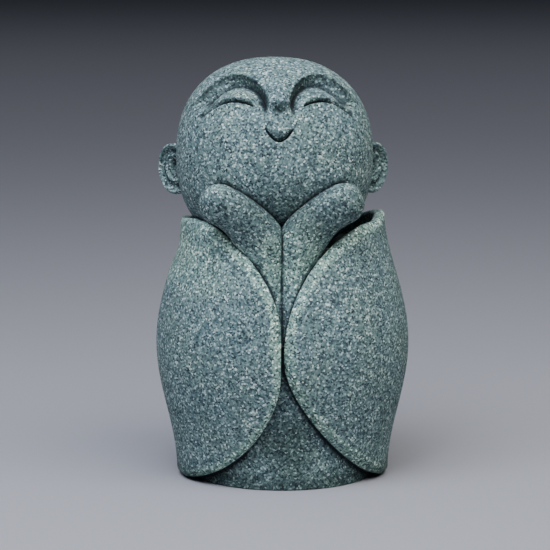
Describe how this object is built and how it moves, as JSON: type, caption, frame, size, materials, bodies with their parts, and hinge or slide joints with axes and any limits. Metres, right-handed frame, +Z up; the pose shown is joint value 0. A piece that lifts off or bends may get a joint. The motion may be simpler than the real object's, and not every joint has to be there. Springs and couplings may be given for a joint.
{
  "type": "monk statue",
  "caption": "Small cast stone statue of a smiling round-headed monk in a barrel-shaped robe, mitten hands raised under the chin, standing on its own flat foot.",
  "frame": {"origin": "middle of the statue's outline, on the plane of its underside", "axes": "+Z up, the figure looks along -Y, +X is on the viewer's right as the figure faces the viewer"},
  "size_m": [0.0752, 0.0706, 0.1252],
  "materials": {
    "cast_stone": "matt cast stone grit bound with resin, speckled blue-green grey"
  },
  "bodies": {
    "root": {"monk_statue": "cast_stone"}
  },
  "joints": []
}
